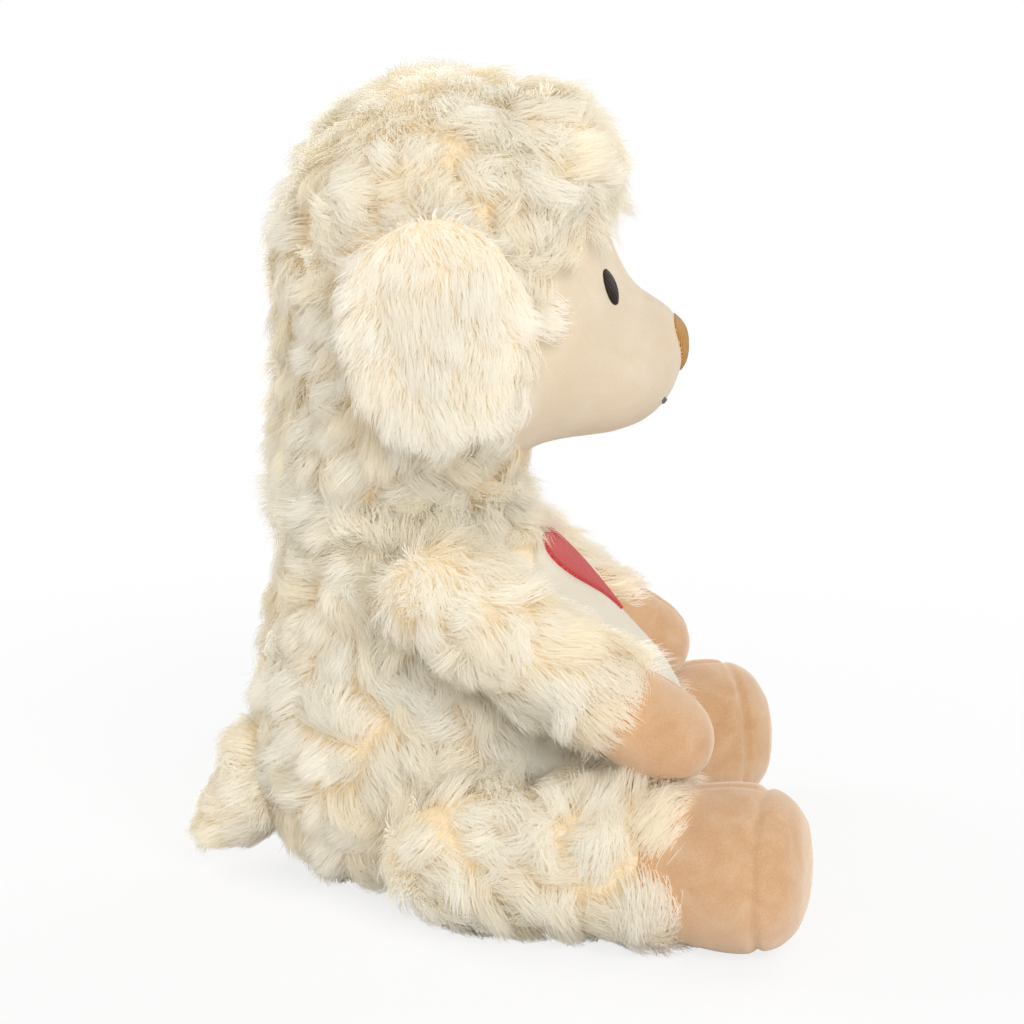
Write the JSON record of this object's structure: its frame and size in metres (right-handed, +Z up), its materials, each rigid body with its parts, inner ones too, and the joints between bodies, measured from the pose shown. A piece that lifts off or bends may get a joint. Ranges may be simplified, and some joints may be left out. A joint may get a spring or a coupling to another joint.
{
  "type": "plush sheep",
  "caption": "Sitting stuffed plush sheep with curly fur, a smooth face and bib with a heart, soft hands and feet, and a turning head",
  "frame": {"origin": "middle of the floor area under the sitting toy", "axes": "+Z up, the sheep faces -Y, +X is its left"},
  "size_m": [0.1848, 0.1861, 0.2458],
  "materials": {
    "curly_fur": "long curly pile",
    "smooth_pile": "short smooth pile",
    "tan_pile": "short smooth pile",
    "red_embroidery": "satin stitch",
    "nose_embroidery": "satin stitch",
    "eye_embroidery": "satin stitch",
    "grey_thread": "thread",
    "fibre_stuffing": "loose fibre",
    "pouch_cloth": "woven bag of pellets"
  },
  "bodies": {
    "torso": {"body_cover": "curly_fur", "chest_bib": "smooth_pile", "heart_patch": "red_embroidery", "body_stuffing": "fibre_stuffing", "pellet_pouch": "pouch_cloth"},
    "neck": {"neck_seam": "curly_fur"},
    "head": {"head_cover": "curly_fur", "forelock": "curly_fur", "face_panel": "smooth_pile", "muzzle": "smooth_pile", "nose": "nose_embroidery", "mouth_stitch": "grey_thread", "eye_left": "eye_embroidery", "eye_right": "eye_embroidery", "head_stuffing": "fibre_stuffing"},
    "arm_left": {"sleeve_left": "curly_fur", "hand_left": "tan_pile", "arm_stuffing_left": "fibre_stuffing"},
    "leg_left": {"thigh_left": "curly_fur", "foot_left": "tan_pile", "sole_left": "tan_pile", "leg_stuffing_left": "fibre_stuffing"},
    "ear_left": {"ear_left": "curly_fur", "ear_lining_left": "smooth_pile"},
    "arm_right": {"sleeve_right": "curly_fur", "hand_right": "tan_pile", "arm_stuffing_right": "fibre_stuffing"},
    "leg_right": {"thigh_right": "curly_fur", "foot_right": "tan_pile", "sole_right": "tan_pile", "leg_stuffing_right": "fibre_stuffing"},
    "ear_right": {"ear_right": "curly_fur", "ear_lining_right": "smooth_pile"},
    "tail": {"tail": "curly_fur"}
  },
  "joints": [
    {"name": "head_nod", "type": "hinge", "parent": "torso", "child": "neck", "pos_m": [0, 0.029, 0.096], "axis": [-1, 0, 0], "range_deg": [-10, 10], "stiffness_Nm_per_rad": 2},
    {"name": "head_turn", "type": "hinge", "parent": "neck", "child": "head", "pos_m": [0, 0.029, 0.096], "axis": [0, 0, 1], "range_deg": [-35, 35], "stiffness_Nm_per_rad": 0.3},
    {"name": "arm_left_raise", "type": "hinge", "parent": "torso", "child": "arm_left", "pos_m": [0.0501, 0.016, 0.1], "axis": [-0.9962, 0, -0.0872], "range_deg": [0, 40], "stiffness_Nm_per_rad": 0.02},
    {"name": "leg_left_spread", "type": "hinge", "parent": "torso", "child": "leg_left", "pos_m": [0.045, 0.036, 0], "axis": [0, 0, 1], "range_deg": [0, 15], "stiffness_Nm_per_rad": 0.2},
    {"name": "ear_left_flap", "type": "hinge", "parent": "head", "child": "ear_left", "pos_m": [0.054, 0.017, 0.203], "axis": [0, -1, 0], "range_deg": [0, 60], "stiffness_Nm_per_rad": 0.004},
    {"name": "arm_right_raise", "type": "hinge", "parent": "torso", "child": "arm_right", "pos_m": [-0.0501, 0.016, 0.1], "axis": [-0.9962, 0, 0.0872], "range_deg": [0, 40], "stiffness_Nm_per_rad": 0.02},
    {"name": "leg_right_spread", "type": "hinge", "parent": "torso", "child": "leg_right", "pos_m": [-0.045, 0.036, 0], "axis": [0, 0, -1], "range_deg": [0, 15], "stiffness_Nm_per_rad": 0.2},
    {"name": "ear_right_flap", "type": "hinge", "parent": "head", "child": "ear_right", "pos_m": [-0.054, 0.017, 0.203], "axis": [0, 1, 0], "range_deg": [0, 60], "stiffness_Nm_per_rad": 0.004},
    {"name": "tail_lift", "type": "hinge", "parent": "torso", "child": "tail", "pos_m": [0, 0.074, 0.043], "axis": [1, 0, 0], "range_deg": [0, 35], "stiffness_Nm_per_rad": 0.004}
  ]
}
